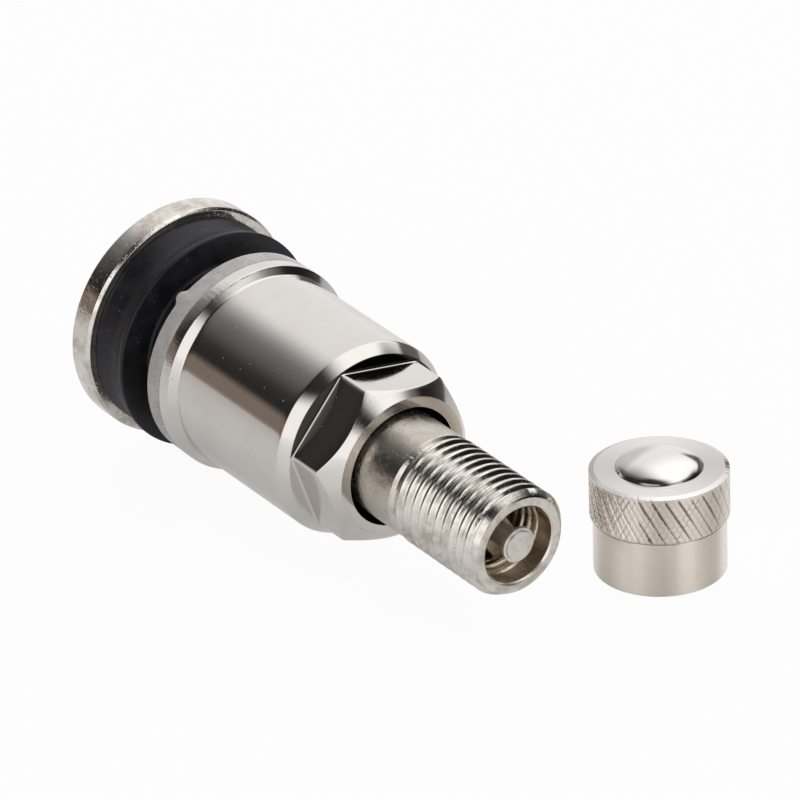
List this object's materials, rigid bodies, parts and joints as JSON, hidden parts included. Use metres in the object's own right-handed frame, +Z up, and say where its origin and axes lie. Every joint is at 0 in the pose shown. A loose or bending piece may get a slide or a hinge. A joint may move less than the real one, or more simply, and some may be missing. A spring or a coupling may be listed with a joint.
{
  "type": "tyre valve",
  "caption": "Clamp-in metal tyre valve with rubber rim seal, nylon washer, long hexagon sleeve nut and spring core, lying beside its knurled dust cap.",
  "frame": {"origin": "on the ground under the middle of the whole set, valve and cap", "axes": "+Z up, +X along the ground from the valve's head to its tip, +Y to the side where the cap stands"},
  "size_m": [0.0438, 0.025, 0.0169],
  "materials": {
    "nickel_stem": "nickel plated, bright, slightly pitted",
    "polished_nut": "nickel plated, polished",
    "satin_cap": "nickel plated, satin",
    "core_brass": "satin",
    "pin_metal": "nickel plated, satin",
    "spring_wire": "satin",
    "black_rubber": "matte, dusted",
    "core_rubber": "matte",
    "clear_nylon": "translucent, satin"
  },
  "bodies": {
    "stem": {"valve_stem": "nickel_stem", "rim_seal": "black_rubber", "core_plug": "core_brass", "core_barrel": "core_brass", "core_cone_seal": "core_rubber", "core_spring": "spring_wire", "cap_shell": "satin_cap", "cap_seal": "core_rubber"},
    "washer": {"nylon_washer": "clear_nylon"},
    "nut": {"sleeve_nut": "polished_nut"},
    "pin": {"core_pin": "pin_metal", "core_cup": "core_brass", "core_cup_seal": "core_rubber"}
  },
  "joints": [
    {"name": "nut_travel", "type": "slide", "parent": "stem", "child": "washer", "axis": [0.9975, 0, -0.0702], "range_m": [0, 0.009]},
    {"name": "nut_turn", "type": "hinge", "parent": "washer", "child": "nut", "pos_m": [-0.00354, -0.00409, 0.00726], "axis": [0.9975, 0, -0.0702], "range_deg": [0, 4321]},
    {"name": "pin_press", "type": "slide", "parent": "stem", "child": "pin", "axis": [-0.9975, 0, 0.0702], "range_m": [0, 0.0012], "stiffness_N_per_m": 600, "deforming": ["core_spring"]}
  ],
  "couplings": [
    {"joint": "nut_turn", "follows": "nut_travel", "rad_per_m": 8377.6}
  ]
}
